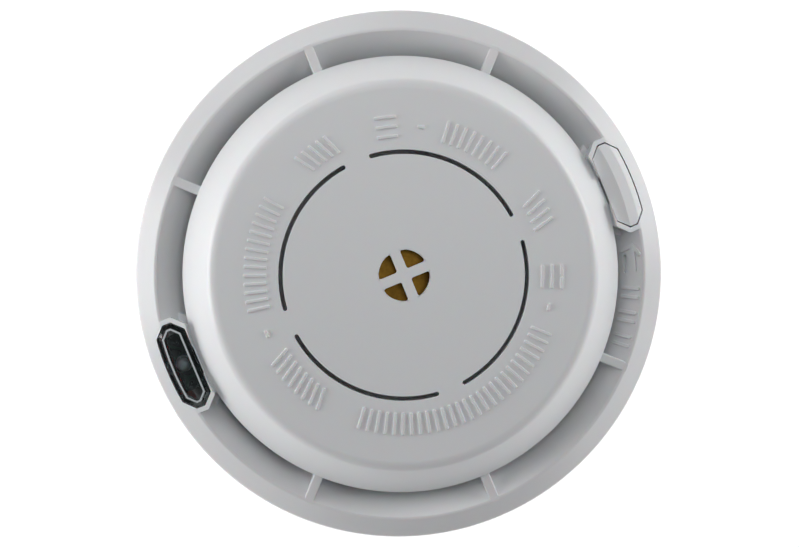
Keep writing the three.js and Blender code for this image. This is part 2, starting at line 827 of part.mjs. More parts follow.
function batteryCase() {
  const minY = batteryCentreY - batteryWidth / 2;
  const maxY = batteryCentreY + batteryWidth / 2;
  const maxZ = batteryBottom + batteryHeight;
  const shape = new THREE.Shape();
  const round = caseRound;
  shape.absarc(maxY - round, batteryBottom + round, round, -Math.PI / 2, 0, false);
  shape.absarc(maxY - round, maxZ - round, round, 0, Math.PI / 2, false);
  shape.absarc(minY + round, maxZ - round, round, Math.PI / 2, Math.PI, false);
  shape.absarc(minY + round, batteryBottom + round, round, Math.PI, Math.PI * 1.5, false);
  const options = { depth: batteryLength, bevelEnabled: false, curveSegments: 3 };
  const geometry = new THREE.ExtrudeGeometry(shape, options);
  geometry.rotateX(Math.PI / 2).rotateZ(Math.PI / 2);
  return solid(geometry.translate(batteryMinX, 0, 0));
}

function batteryStud() {
  return rod(terminalMinX, terminalMaxX, studY, terminalZ, studRadius);
}

function batterySocket() {
  const tube = rod(terminalMinX, terminalMaxX, socketY, terminalZ, socketRadius);
  return tube.subtract(rod(terminalMinX - 1, batteryMinX - 0.5, socketY, terminalZ, socketBore));
}

function snapPlate() {
  const half = batteryWidth / 2 - 1.2;
  const minY = batteryCentreY - half;
  const maxY = batteryCentreY + half;
  return block(snapPlateX, snapFaceX, minY, maxY, terminalZ - snapPlateHalf, snapPlateTop);
}

function snapSocket() {
  const tube = rod(snapFaceX + 0.02, batteryMinX - gap, studY, terminalZ, socketRadius);
  return tube.subtract(rod(snapFaceX + snapRivet, batteryMinX + 1, studY, terminalZ, socketBore));
}

function snapStud() {
  return rod(snapFaceX + 0.02, batteryMinX - 0.7, socketY, terminalZ, studRadius);
}

// A battery lead leaves the top of the snap plate, crosses the bay wall and drops to the board.
function batteryLead(startY, crossX, boardX) {
  const startX = snapPlateX + snapPlateThickness / 2;
  const wallY = bay.maxY + bayWall / 2;
  return wire(
    [
      [startX, startY, snapPlateTop + seat],
      [startX, startY, snapPlateTop + 0.8],
      [crossX, wallY - 2.2, leadCrossing],
      [crossX, wallY, leadCrossing],
      [boardX, wallY + 3.6, boardTop + 2.6],
      [boardX, wallY + 3.6, boardTop + seat],
    ],
    leadRadius,
    14,
  );
}

const detector = new THREE.Group();

function place(name, body, look) {
  const mesh = new THREE.Mesh(geometryOf(body), look);
  mesh.name = name;
  detector.add(mesh);
}

place("mounting_plate", mountingPlate(), materials.plate);
place("rear_housing", rearHousing(), materials.tray);
place("front_ring", frontRing(), materials.casing);
place("chamber_deck", chamberDeck(), materials.casing);
place("sounder_cap", sounderCap(), materials.casing);
place("test_button", testButton(), materials.casing);
place("button_spring", buttonSpring(), materials.steel);
place("indicator_lens", indicatorLens(), materials.clear);
place("status_led", statusLed(), materials.led);
place("led_spacer", ledSpacer(), materials.black);
place("circuit_board", circuitBoard(), materials.board);
place("test_switch_body", switchBody(), materials.black);
place("test_switch_plunger", switchPlunger(), materials.black);
place("microcontroller", chip([-8, 3], 10.2, 8), materials.black);
place("horn_driver_chip", chip([11, 3], 5, 4), materials.black);
place("boost_coil", boostCoil(), materials.black);
place("storage_capacitor", storageCapacitor(), materials.sleeve);
sensorSpots.forEach((spot, i) => {
  place(`heat_sensor_leads_${i + 1}`, sensorLeads(spot), materials.tinned);
  place(`heat_sensor_bead_${i + 1}`, sensorBead(spot), materials.black);
});
place("sound_gasket", soundGasket(), materials.silicone);
place("piezo_disc", piezoDisc(), materials.brass);
place("piezo_ceramic", piezoCeramic(), materials.ceramic);
place("piezo_retainer", piezoRetainer(), materials.tray);
place("sounder_wire_red", sounderWire(1, 8, ceramicBottom - seat), materials.redWire);
place("sounder_wire_black", sounderWire(-1, 13, piezoBottom - seat), materials.blackWire);
place("battery_case", batteryCase(), materials.battery);
place("battery_stud", batteryStud(), materials.tinned);
place("battery_socket", batterySocket(), materials.tinned);
place("snap_plate", snapPlate(), materials.black);
place("snap_socket", snapSocket(), materials.tinned);
place("snap_stud", snapStud(), materials.tinned);
const redLead = batteryLead(bay.maxY - 2.4, snapPlateX + 1, snapPlateX + 1.4);
const blackLead = batteryLead(bay.maxY - 5.6, snapPlateX + 3.4, snapPlateX + 5);
place("battery_lead_red", redLead, materials.redWire);
place("battery_lead_black", blackLead, materials.blackWire);
housingPosts.forEach((spot, i) => {
  place(`housing_screw_${i + 1}`, panScrew(spot, trayFloorTop, housingScrewLength), materials.steel);
});
capPosts.forEach((spot, i) => {
  place(`cap_screw_${i + 1}`, panScrew(spot, floorBottom - seat, capScrewLength), materials.steel);
});
boardPosts.forEach((spot, i) => {
  const screw = panScrew([0, 0], 0, boardScrewLength).rotate([180, 0, 0]);
  place(`board_screw_${i + 1}`, screw.translate([...spot, boardTop + seat]), materials.steel);
});

export default detector;
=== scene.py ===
import json
import math

import bmesh
import bpy
import numpy as np
from mathutils import Matrix, Vector


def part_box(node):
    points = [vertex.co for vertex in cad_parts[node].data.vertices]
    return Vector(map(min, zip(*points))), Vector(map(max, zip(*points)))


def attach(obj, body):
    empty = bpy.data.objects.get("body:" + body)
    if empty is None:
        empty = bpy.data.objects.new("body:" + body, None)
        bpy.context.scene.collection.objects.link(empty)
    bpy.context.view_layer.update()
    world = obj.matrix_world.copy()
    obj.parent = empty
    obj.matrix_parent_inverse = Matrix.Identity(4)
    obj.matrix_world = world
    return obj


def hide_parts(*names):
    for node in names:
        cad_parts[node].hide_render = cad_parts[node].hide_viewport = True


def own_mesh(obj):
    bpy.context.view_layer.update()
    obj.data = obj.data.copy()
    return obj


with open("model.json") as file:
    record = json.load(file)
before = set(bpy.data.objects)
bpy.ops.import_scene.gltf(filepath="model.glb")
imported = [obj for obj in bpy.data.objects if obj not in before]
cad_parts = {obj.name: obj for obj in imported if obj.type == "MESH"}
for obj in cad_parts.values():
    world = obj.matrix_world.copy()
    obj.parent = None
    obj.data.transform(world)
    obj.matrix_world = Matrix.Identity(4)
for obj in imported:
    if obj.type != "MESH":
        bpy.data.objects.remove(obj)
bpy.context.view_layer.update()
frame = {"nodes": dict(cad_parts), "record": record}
mm = 0.001
print("frame loaded:", len(frame["nodes"]), "nodes")


# Outlines and surfaces are in millimetres until they become a mesh.


def arcPoints(centre, radius, fromDeg, toDeg, count):
    # centre + radius * (cos, sin) at even angles
    angle = np.radians(np.linspace(fromDeg, toDeg, count))
    return np.stack([centre[0] + radius * np.cos(angle), centre[1] + radius * np.sin(angle)], 1)


def roundedPolygon(points, radii, count=8):
    # every corner becomes an arc tangent to its two sides; a radius of 0 keeps the corner sharp
    points = np.asarray(points, float)
    radii = np.broadcast_to(np.asarray(radii, float), len(points))
    before = np.roll(points, 1, 0) - points
    after = np.roll(points, -1, 0) - points
    before /= np.linalg.norm(before, axis=1, keepdims=True)
    after /= np.linalg.norm(after, axis=1, keepdims=True)
    pieces = []
    for corner, b, a, radius in zip(points, before, after, radii):
        if radius <= 0:
            pieces.append(corner[None])
            continue
        half = math.acos(np.clip(np.dot(b, a), -1, 1)) / 2
        centre = corner + (b + a) / np.linalg.norm(b + a) * radius / math.sin(half)
        start = corner + b * radius / math.tan(half) - centre
        end = corner + a * radius / math.tan(half) - centre
        t = np.linspace(0, 1, count)[:, None]
        sweep = math.acos(np.clip(np.dot(start, end) / radius**2, -1, 1))
        arc = (np.sin((1 - t) * sweep) * start + np.sin(t * sweep) * end) / math.sin(sweep)
        pieces.append(centre + arc)
    return np.concatenate(pieces)


def curvedSlot(radius, width, middleDeg, sweepDeg, count=40):
    # an arc of the circle, widened by half the width on both sides, with round ends
    half = sweepDeg / 2
    outer = arcPoints((0, 0), radius + width / 2, middleDeg - half, middleDeg + half, count)
    inner = arcPoints((0, 0), radius - width / 2, middleDeg + half, middleDeg - half, count)
    ends = []
    for side in (1, -1):
        angle = math.radians(middleDeg + side * half)
        centre = (radius * math.cos(angle), radius * math.sin(angle))
        first = middleDeg + side * half + (0 if side > 0 else 180)
        ends.append(arcPoints(centre, width / 2, first, first + 180, 10)[1:-1])
    return np.concatenate([outer, ends[0], inner, ends[1]])


def grown(outline, distance):
    # each point moves out along the mean of its two sides' normals, so that straight sides stay parallel
    along = np.roll(outline, -1, 0) - outline
    along /= np.linalg.norm(along, axis=1, keepdims=True)
    normal = np.stack([along[:, 1], -along[:, 0]], 1)
    mean = normal + np.roll(normal, 1, 0)
    mean /= (mean * normal).sum(1, keepdims=True)
    return outline + mean * distance


def turnedBy(outline, degrees):
    c, s = math.cos(math.radians(degrees)), math.sin(math.radians(degrees))
    return outline @ np.array([[c, s], [-s, c]])


def gridFaces(rows, columns, closedRows=False):
    # quads between neighbouring rows of a closed ring of columns
    r = np.arange(rows if closedRows else rows - 1)[:, None]
    c = np.arange(columns)[None]
    nextRow = (r + 1) % rows
    nextColumn = (c + 1) % columns
    quads = np.stack([r * columns + c, r * columns + nextColumn, nextRow * columns + nextColumn,
                      nextRow * columns + c], -1)
    return quads.reshape(-1, 4).tolist()


def makeObject(name, vertices, faces):
    mesh = bpy.data.meshes.new(name)
    mesh.from_pydata((np.asarray(vertices) * mm).tolist(), [], faces)
    mesh.validate()
    piece = bpy.data.objects.new(name, mesh)
    bpy.context.scene.collection.objects.link(piece)
    tidyNormals(piece)
    return piece


def tidyNormals(piece):
    work = bmesh.new()
    work.from_mesh(piece.data)
    bmesh.ops.remove_doubles(work, verts=work.verts, dist=1e-7)
    bmesh.ops.recalc_face_normals(work, faces=work.faces)
    work.to_mesh(piece.data)
    work.free()


def turnedRings(outline, segments):
    # (r, z) -> (r cos a, r sin a, z) for even angles a
    angle = np.linspace(0, 2 * math.pi, segments, endpoint=False)
    outline = np.asarray(outline, float)
    rings = np.stack([
        outline[:, None, 0] * np.cos(angle),
        outline[:, None, 0] * np.sin(angle),
        np.broadcast_to(outline[:, None, 1], (len(outline), segments)),
    ], -1)
    return rings.reshape(-1, 3)


def lathe(name, outline, segments):
    # a turned body whose outline closes on itself
    return makeObject(name, turnedRings(outline, segments), gridFaces(len(outline), segments, True))


def dome(name, outline, segments):
    # a turned body from an open outline whose ends lie on the axis
    return makeObject(name, turnedRings(outline, segments), gridFaces(len(outline), segments))


def loft(name, outline, levels):
    # the outline, or what a function gives for that growth, at each (growth, height), with flat ends
    rings = []
    for growth, height in levels:
        shape = outline(growth) if callable(outline) else grown(outline, growth)
        rings.append(np.column_stack([shape, np.full(len(shape), height)]))
    count = len(rings[0])
    last = (len(levels) - 1) * count
    faces = gridFaces(len(levels), count)
    faces += [list(range(count))[::-1], list(range(last, last + count))]
    return makeObject(name, np.concatenate(rings), faces)


def roundTop(bottom, top, radius, grow=0.0, steps=5):
    # straight sides up to a quarter-round edge at the top
    t = np.radians(np.linspace(0, 90, steps))
    edge = [(grow - radius * (1 - math.cos(a)), top - radius * (1 - math.sin(a))) for a in t]
    return [(grow, bottom)] + edge


def flaredCutter(bottom, top, radius, steps=5):
    # a cutter that opens into a quarter round where it leaves the surface at top
    t = np.radians(np.linspace(0, 90, steps))
    edge = [(radius * (1 - math.cos(a)), top - radius * (1 - math.sin(a))) for a in t]
    return [(0, bottom)] + edge + [(radius, top + 3)]


def tube(name, points, radius, sides=14, steps=60):
    # a circle of the radius carried along a smooth curve through the points
    points = np.asarray(points, float)
    t = np.linspace(0, len(points) - 1, steps)
    i = np.clip(t.astype(int), 0, len(points) - 2)
    u = (t - i)[:, None]
    padded = np.concatenate([[2 * points[0] - points[1]], points, [2 * points[-1] - points[-2]]])
    p0, p1, p2, p3 = (padded[i + k] for k in range(4))
    path = 0.5 * (2 * p1 + (p2 - p0) * u + (2 * p0 - 5 * p1 + 4 * p2 - p3) * u**2
                  + (3 * p1 - p0 - 3 * p2 + p3) * u**3)
    return sweptCircle(name, path, radius, sides)


def sweptCircle(name, path, radius, sides=14):
    # ring = path + radius * (cos a * across + sin a * up), where across turns as little as possible
    tangent = np.gradient(path, axis=0)
    tangent /= np.linalg.norm(tangent, axis=1, keepdims=True)
    side = np.cross(tangent[0], [0.3, 0.5, 0.81])
    across = []
    for along in tangent:
        side = side - along * np.dot(side, along)
        side = side / np.linalg.norm(side)
        across.append(side)
    across = np.array(across)
    up = np.cross(tangent, across)
    angle = np.linspace(0, 2 * math.pi, sides, endpoint=False)[None, :, None]
    rings = path[:, None] + radius * (np.cos(angle) * across[:, None] + np.sin(angle) * up[:, None])
    count = len(path)
    faces = gridFaces(count, sides)
    faces += [list(range(sides))[::-1], list(range((count - 1) * sides, count * sides))]
    return makeObject(name, rings.reshape(-1, 3), faces)


def applyModifiers(piece):
    depsgraph = bpy.context.evaluated_depsgraph_get()
    applied = bpy.data.meshes.new_from_object(piece.evaluated_get(depsgraph))
    piece.modifiers.clear()
    piece.data = applied


def combine(piece, others, operation):
    # one cut or join at a time, applied, with the helper removed
    for other in others:
        modifier = piece.modifiers.new("combine", "BOOLEAN")
        modifier.operation = operation
        modifier.solver = "MANIFOLD"
        modifier.object = other
        applyModifiers(piece)
        bpy.data.objects.remove(other)
    return piece


def chamferEdges(piece, width, angle):
    # a flat chamfer along every edge sharper than the angle, applied
    bevel = piece.modifiers.new("chamfer", "BEVEL")
    bevel.width = width * mm
    bevel.segments = 1
    bevel.limit_method = "ANGLE"
    bevel.angle_limit = math.radians(angle)
    bevel.use_clamp_overlap = True
    bevel.harden_normals = False
    applyModifiers(piece)


def flattenFaces(piece):
    # the cuts leave flat areas in slivers, so faces in one plane become one face again
    work = bmesh.new()
    work.from_mesh(piece.data)
    bmesh.ops.dissolve_limit(work, angle_limit=0.001, use_dissolve_boundaries=False, verts=work.verts,
                             edges=work.edges, delimit={"NORMAL"})
    work.to_mesh(piece.data)
    work.free()


def settle(piece, material, body, replaced, sharpDeg):
    # the last things every new piece gets: smooth faces, a finish, the body it moves with
    piece.data.materials.clear()
    piece.data.materials.append(material)
    piece.data.shade_smooth()
    piece.data.set_sharp_from_angle(angle=math.radians(sharpDeg))
    normals = piece.modifiers.new("faceWeightedNormals", "WEIGHTED_NORMAL")
    normals.keep_sharp = True
    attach(piece, body)
    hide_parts(*replaced)
    return piece


# Finishes: procedural, each named for the real material and how it was made.


def colour(code):
    # sRGB hex to the linear values that Blender works in
    parts = [int(code[i:i + 2], 16) / 255 for i in (1, 3, 5)]
    return [p / 12.92 if p <= 0.04045 else ((p + 0.055) / 1.055) ** 2.4 for p in parts] + [1]


def addNode(tree, kind, settings=None, inputs=None):
    # an input is either a constant or the output socket that feeds it
    made = tree.nodes.new(kind)
    for key, value in (settings or {}).items():
        setattr(made, key, value)
    for key, value in (inputs or {}).items():
        feed(tree, made, key, value)
    return made


def feed(tree, node, key, value):
    if isinstance(value, bpy.types.NodeSocket):
        tree.links.new(value, node.inputs[key])
    else:
        node.inputs[key].default_value = value


def startMaterial(name, **settings):
    material = bpy.data.materials.new(name)
    material.use_nodes = True
    tree = material.node_tree
    tree.nodes.clear()
    shader = addNode(tree, "ShaderNodeBsdfPrincipled", None, settings)
    addNode(tree, "ShaderNodeOutputMaterial", None, {"Surface": shader.outputs["BSDF"]})
    place = addNode(tree, "ShaderNodeTexCoord").outputs["Object"]
    return material, tree, shader, place


def mixColours(tree, factor, first, second):
    # sockets 0, 6, 7 and the output 2 are the factor, the two colours and the mixed colour
    mix = addNode(tree, "ShaderNodeMix", {"data_type": "RGBA"}, {0: factor, 6: first, 7: second})
    return mix.outputs[2]


def noiseOf(tree, place, size, detail=3.0, roughness=0.55):
    # size is the width of one blotch in millimetres
    return addNode(tree, "ShaderNodeTexNoise", None, {
        "Scale": 1000 / size, "Detail": detail, "Roughness": roughness, "Vector": place}).outputs["Fac"]


def rampOf(tree, socket, low, high, lowValue=0.0, highValue=1.0):
    # the range low to high becomes lowValue to highValue, and stays there outside it
    ramp = addNode(tree, "ShaderNodeMapRange", {"clamp": True}, {
        "From Min": low, "From Max": high, "To Min": lowValue, "To Max": highValue, "Value": socket})
    return ramp.outputs[0]


def bumpOf(tree, height, depth, strength=1.0, under=None):
    # depth is the height of the bumps in millimetres
    inputs = {"Strength": strength, "Distance": depth * mm, "Height": height}
    if under:
        inputs["Normal"] = under
    return addNode(tree, "ShaderNodeBump", None, inputs).outputs["Normal"]


# Injection-moulded ABS, off a finely polished tool: a satin white that carries soft reflections and lets
# a little light through, with faint waves where the melt flowed and a grain drawn coarser than the real one.
mouldedAbs = {
    "tint": "#f1f2f3", "shade": "#eff0f2", "roughness": (0.29, 0.31), "flowSize": 22, "smudgeSize": 9,
    "grainSize": 0.45, "grainHeight": 0.003, "waveHeight": 0.004,
}


def makeMouldedAbs(name, finish):
    material, tree, shader, place = startMaterial(name, **{
        "IOR": 1.53, "Subsurface Weight": 0.2, "Subsurface Scale": 0.002})
    flow = noiseOf(tree, place, finish["flowSize"], 2)
    smudge = noiseOf(tree, place, finish["smudgeSize"], 4, 0.6)
    grain = noiseOf(tree, place, finish["grainSize"], 2)
    low, high = finish["roughness"]
    tint, shade = colour(finish["tint"]), colour(finish["shade"])
    feed(tree, shader, "Base Color", mixColours(tree, flow, tint, shade))
    feed(tree, shader, "Roughness", rampOf(tree, smudge, 0.3, 0.7, low, high))
    fine = bumpOf(tree, grain, finish["grainHeight"])
    feed(tree, shader, "Normal", bumpOf(tree, flow, finish["waveHeight"], 1.0, fine))
    return material


# Polished polycarbonate, faintly blue-green where it is thick: the space behind stays dark, and its
# sloping border mirrors the lamps.
def makeClearPolycarbonate():
    material, tree, shader, place = startMaterial("polishedPolycarbonate", **{
        "IOR": 1.585, "Transmission Weight": 1.0})
    haze = noiseOf(tree, place, 1.2)
    feed(tree, shader, "Base Color", mixColours(tree, haze, colour("#e6f1f3"), colour("#eef6f7")))
    feed(tree, shader, "Roughness", rampOf(tree, haze, 0.35, 0.75, 0.01, 0.04))
    feed(tree, shader, "Normal", bumpOf(tree, noiseOf(tree, place, 2.5, 2), 0.01, 0.3))
    return material


# The same plastic etched by the tool: its rough skin scatters light, so the thin rib reads as a pale line.
def makeFrostedPolycarbonate():
    material, tree, shader, place = startMaterial("frostedPolycarbonate", **{
        "IOR": 1.585, "Transmission Weight": 0.25})
    etch = noiseOf(tree, place, 0.3)
    feed(tree, shader, "Base Color", mixColours(tree, etch, colour("#dfe6e8"), colour("#c9d2d6")))
    feed(tree, shader, "Roughness", rampOf(tree, etch, 0.3, 0.7, 0.25, 0.45))
    feed(tree, shader, "Normal", bumpOf(tree, etch, 0.01, 0.5))
    return material


# Cast epoxy: pale and milky under a glossy skin, so the dome stands out against the dark board.
def makeCastEpoxy():
    material, tree, shader, place = startMaterial("castEpoxy", **{
        "IOR": 1.51, "Transmission Weight": 0.05, "Subsurface Weight": 0.3, "Subsurface Scale": 0.001})
    cloud = noiseOf(tree, place, 1.1)
    feed(tree, shader, "Base Color", mixColours(tree, cloud, colour("#f6f4f4"), colour("#e4e1e2")))
    feed(tree, shader, "Roughness", rampOf(tree, cloud, 0.3, 0.7, 0.05, 0.16))
    return material


# Fibreglass board under a green lacquer: copper runs show through as paler, slightly raised lines.
def makeSolderMask():
    material, tree, shader, place = startMaterial("solderMask", **{
        "IOR": 1.5, "Coat Weight": 0.4, "Coat Roughness": 0.12})
    cells = addNode(tree, "ShaderNodeTexVoronoi", {"feature": "DISTANCE_TO_EDGE"}, {
        "Scale": 1000 / 3.8, "Vector": place})
    tracks = rampOf(tree, cells.outputs["Distance"], 0.06, 0.09, 1.0, 0.0)
    weave = noiseOf(tree, place, 0.7)
    lacquer = mixColours(tree, weave, colour("#072a1d"), colour("#0a3526"))
    feed(tree, shader, "Base Color", mixColours(tree, tracks, lacquer, colour("#17563c")))
    feed(tree, shader, "Roughness", rampOf(tree, weave, 0.3, 0.7, 0.25, 0.4))
    feed(tree, shader, "Normal", bumpOf(tree, tracks, 0.04, 0.6))
    return material


# A metal rolled or drawn: fine lines one way, and a patchy tarnish that dulls it.
def makeMetal(name, clean, tarnished, roughness):
    material, tree, shader, place = startMaterial(name, Metallic=1.0)
    lines = addNode(tree, "ShaderNodeMapping", None, {"Scale": (1, 14, 1), "Vector": place}).outputs[0]
    brushed = noiseOf(tree, lines, 1.2)
    patch = noiseOf(tree, place, 6, 4, 0.65)
    low, high = roughness
    feed(tree, shader, "Base Color",
         mixColours(tree, rampOf(tree, patch, 0.4, 0.7), colour(clean), colour(tarnished)))
    feed(tree, shader, "Roughness", rampOf(tree, brushed, 0.3, 0.7, low, high))
    feed(tree, shader, "Normal", bumpOf(tree, brushed, 0.01, 0.3))
    return material


# Moulded, dipped or fired matter coloured all through: two close tones, a dull or waxy face, a fine grain.
def makeMoulded(name, tone, otherTone, roughness, grain=0.4, height=0.01, ior=1.5):
    material, tree, shader, place = startMaterial(name, IOR=ior)
    low, high = roughness
    clouds = noiseOf(tree, place, 4)
    feed(tree, shader, "Base Color", mixColours(tree, clouds, colour(tone), colour(otherTone)))
    feed(tree, shader, "Roughness", rampOf(tree, noiseOf(tree, place, 1.4), 0.3, 0.7, low, high))
    feed(tree, shader, "Normal", bumpOf(tree, noiseOf(tree, place, grain, 2), height, 0.7))
    return material


finishes = {
    # the outer shell and the deck under it: clean, satin and slightly cool
    "casing": makeMouldedAbs("satinWhiteAbs", mouldedAbs),
    # the plate behind: duller and a shade greyer, so its edge reads as a second moulding
    "plate": makeMoulded("mattWhiteAbs", "#e0e1df", "#d8d9d7", (0.42, 0.55), 0.5, 0.012, 1.53),
    # the hidden tray and the sounder's retainer: warmer and unpolished
    "tray": makeMoulded("mattOffWhiteAbs", "#dadad6", "#d2d2ce", (0.42, 0.55), 0.5, 0.012, 1.53),
    "clear": makeClearPolycarbonate(),
    "frosted": makeFrostedPolycarbonate(),
    "board": makeSolderMask(),
    # chips, coil, switch and snap plate: charcoal, with a dusty bloom in place of a shine
    "black": makeMoulded("blackEpoxyMoulding", "#1b1c1e", "#131415", (0.4, 0.6), 0.3, 0.012),
    # the sounder's disc: a dull gold sheen
    "brass": makeMetal("rolledBrass", "#a07a30", "#6e5220", (0.28, 0.45)),
    # the layer fired onto the disc: chalky cream
    "ceramic": makeMoulded("silveredCeramic", "#ddd8ca", "#c9c4b6", (0.4, 0.6), 0.2, 0.006, 1.6),
    # the gasket: soft grey that hardly shines
    "silicone": makeMoulded("greySilicone", "#b4b7b7", "#a7aaaa", (0.6, 0.75), 0.6, 0.01, 1.41),
    # screws and spring: cool grey with short streaked highlights
    "steel": makeMetal("zincPlatedSteel", "#c3c6c9", "#9fa2a4", (0.25, 0.42)),
    # terminals and leads: the brightest metal, close to a mirror
    "tinned": makeMetal("nickelPlatedSteel", "#d6d7d6", "#b1b2b0", (0.12, 0.28)),
    # the battery's wrap: blue-black film with long smooth highlights
    "battery_label": makeMoulded("wrappedFilmLabel", "#22262c", "#2a2f36", (0.18, 0.3), 0.8, 0.008),
    # the wires: saturated, waxy colour that tells the poles apart
    "red_wire": makeMoulded("redPvcInsulation", "#a32220", "#8e1c1b", (0.32, 0.45), 0.5, 0.01, 1.54),
    "black_wire": makeMoulded("blackPvcInsulation", "#161616", "#1f1f20", (0.32, 0.45), 0.5, 0.01, 1.54),
    # the capacitor's sleeve: glossy navy, tight over the can
    "sleeve": makeMoulded("shrunkPvcSleeve", "#1c2a45", "#16223a", (0.2, 0.32), 0.8, 0.01, 1.54),
    "led": makeCastEpoxy(),
    # the sensors' drops: wet-looking black
    "bead": makeMoulded("dippedEpoxy", "#191a1c", "#101112", (0.12, 0.25), 0.8, 0.006, 1.55),
}
slotOf = {part["node"]: part["material_slot"] for part in frame["record"]["subparts"]}
for nodeName, node in frame["nodes"].items():
    node.data.materials.clear()
    node.data.materials.append(finishes[slotOf[nodeName]])
print("finishes made:", len(finishes))


# Places read from the frame, in millimetres.


def extent(nodeName):
    low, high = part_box(nodeName)
    return np.array(low) / mm, np.array(high) / mm


ringLow, ringHigh = extent("front_ring")
capHigh = extent("sounder_cap")[1]
plateHigh = extent("mounting_plate")[1]

bodyRadius = ringHigh[0]
rimTop = ringHigh[2]
channelDepth = 5.2
floorTop = rimTop - channelDepth
floorBottom = floorTop - 1.4
capRadius = capHigh[0]
markHeight = 0.35
cutPast = 1.0
faceTop = capHigh[2] - markHeight
fineRound = 320

# The front ring: skirt, sloping rim, air channel, spokes and the two window frames.

frontRing = {
    "rimInner": bodyRadius - 4.7, "crownRadius": bodyRadius - 4.2, "coneFoot": (bodyRadius, rimTop - 2.4),
    "crownEdge": 0.9, "footEdge": 0.9, "skirtTop": rimTop - 5.6,
    "slopeFoot": capRadius - 0.3, "lipWidth": 2.7, "wall": 1.9, "draft": 2.0, "spokeWidth": 2.1,
    "spokes": (45, 90, 135, 225, 270, 315), "spokeInner": capRadius - 2.3, "spokeEdge": 0.3,
}
window = {
    "outer": bodyRadius - 2.7, "inner": capRadius + 0.3, "half": 9.7, "chamfer": 2.4, "gap": 0.3,
    "collar": 1.0, "foot": 2.5, "flange": 0.8, "middle": (bodyRadius - 2.7 + capRadius + 0.3) / 2,
    "rampTop": rimTop + 2.2, "lowTop": rimTop - 0.2, "reach": 9.0, "crownRound": 3.0,
    "footTop": floorTop + 2.0,
}
window["step"] = window["inner"] + 0.1
channelMarks = {
    "arrowTip": (51.3, -15.4), "arrowTail": (51.4, -21.5), "wings": ((49.1, -16.6), (52.3, -17.6)),
    "pocket": (49.6, -20.0), "pocketSize": (3.0, 1.1), "stroke": 0.8, "raised": 0.45,
    "bars": (-26, -28.2, -32, -34.2, -38, -40.2), "barReach": (49.2, 52.0),
}


def windowOutline(grow=0.0, cornerRadius=0.35, arcCount=25):
    # an octagon whose outer side is an arc round the body's axis
    half = window["half"] + grow
    chamfer = window["chamfer"] + grow * (2 - math.sqrt(2))
    outer = window["outer"] + grow
    inner = window["inner"] - grow
    flat = half - chamfer
    cornerX = math.sqrt(outer**2 - flat**2)
    corner = math.degrees(math.atan2(flat, cornerX))
    arc = arcPoints((0, 0), outer, -corner, corner, arcCount)
    lower = [(inner, -flat), (inner + chamfer, -half), (cornerX - chamfer, -half)]
    upper = [(cornerX - chamfer, half), (inner + chamfer, half), (inner, flat)]
    points = np.concatenate([lower, arc, upper])
    radii = np.zeros(len(points))
    radii[[0, 1, 2, 3, -4, -3, -2, -1]] = cornerRadius
    return roundedPolygon(points, radii, 5)


def windowAt(angle, extra=0.0, cornerRadius=0.35):
    return lambda growth: turnedBy(windowOutline(growth + extra, cornerRadius), angle)


def ringSection(shape):
    # a cone round the rim, a straight slope down the channel, one wall thickness all the way round
    bottomRadius = bodyRadius - shape["draft"]
    wall = shape["wall"]
    lip = shape["slopeFoot"] - shape["lipWidth"]
    points = [
        (bodyRadius, shape["skirtTop"]), shape["coneFoot"], (shape["crownRadius"], rimTop),
        (shape["rimInner"], rimTop), (shape["slopeFoot"], floorTop), (lip, floorTop), (lip, floorBottom),
        (shape["slopeFoot"] - 0.6, floorBottom), (shape["rimInner"] - 0.8, rimTop - 3.5),
        (bodyRadius - wall - 2.0, rimTop - 3.8), (bodyRadius - wall, shape["skirtTop"] - 1.5),
        (bottomRadius - wall, ringLow[2]), (bottomRadius, ringLow[2]),
    ]
    outside = [1.0, shape["footEdge"], shape["crownEdge"], 0.2, 1.0, 0.2]
    inside = [0.2, 0.4, 0.4, 1.0, 0.8, 0.15, 0.3]
    corners = outside + inside
    return roundedPolygon(points, corners, 10)


def onSlope(radius, degrees, lift=0.0):
    # a point of the channel's sloping wall, raised square to it
    run = frontRing["rimInner"] - frontRing["slopeFoot"]
    rise = rimTop - floorTop
    steep = math.hypot(run, rise)
    height = floorTop + (radius - frontRing["slopeFoot"]) * rise / run
    out = Vector((math.cos(math.radians(degrees)), math.sin(math.radians(degrees)), 0))
    square = (out * -rise + Vector((0, 0, run))) / steep
    return out * radius + Vector((0, 0, height)) + square * lift, square


def slopeBar(first, second, width, below, above):
    # a straight bar between two points of the slope, from below it to above it
    start, square = onSlope(*first)
    end, otherSquare = onSlope(*second)
    along = end - start
    up = (square + otherSquare).normalized()
    side = up.cross(along.normalized()).normalized()
    half, length = width / 2, along.length
    plan = roundedPolygon([(-half, -half), (length + half, -half), (length + half, half), (-half, half)],
                          half * 0.9, 4)
    bar = loft("bar", plan, roundTop(-below, above, 0.12, 0, 3))
    frameOf = Matrix((along.normalized(), side, up)).transposed().to_4x4()
    frameOf.translation = start * mm
    bar.data.transform(frameOf)
    return bar


def windowEnvelope(stepRadius, lift=0.0):
    # the rim's cone, then a ramp that climbs inwards from it to the edge of the sounder cap
    crown = frontRing["crownRadius"]
    footRadius, footHeight = frontRing["coneFoot"]
    deep = rimTop - window["reach"]
    outline = [
        (0.0, deep), (footRadius, deep), (footRadius, footHeight + lift), (crown, rimTop + lift),
        (stepRadius, window["rampTop"] + lift), (stepRadius, window["lowTop"]), (0.0, window["lowTop"]),
    ]
    corners = [0, 0, 0, window["crownRound"], 0.2, 0, 0]
    return dome("envelope", roundedPolygon(outline, corners, 12), fineRound)


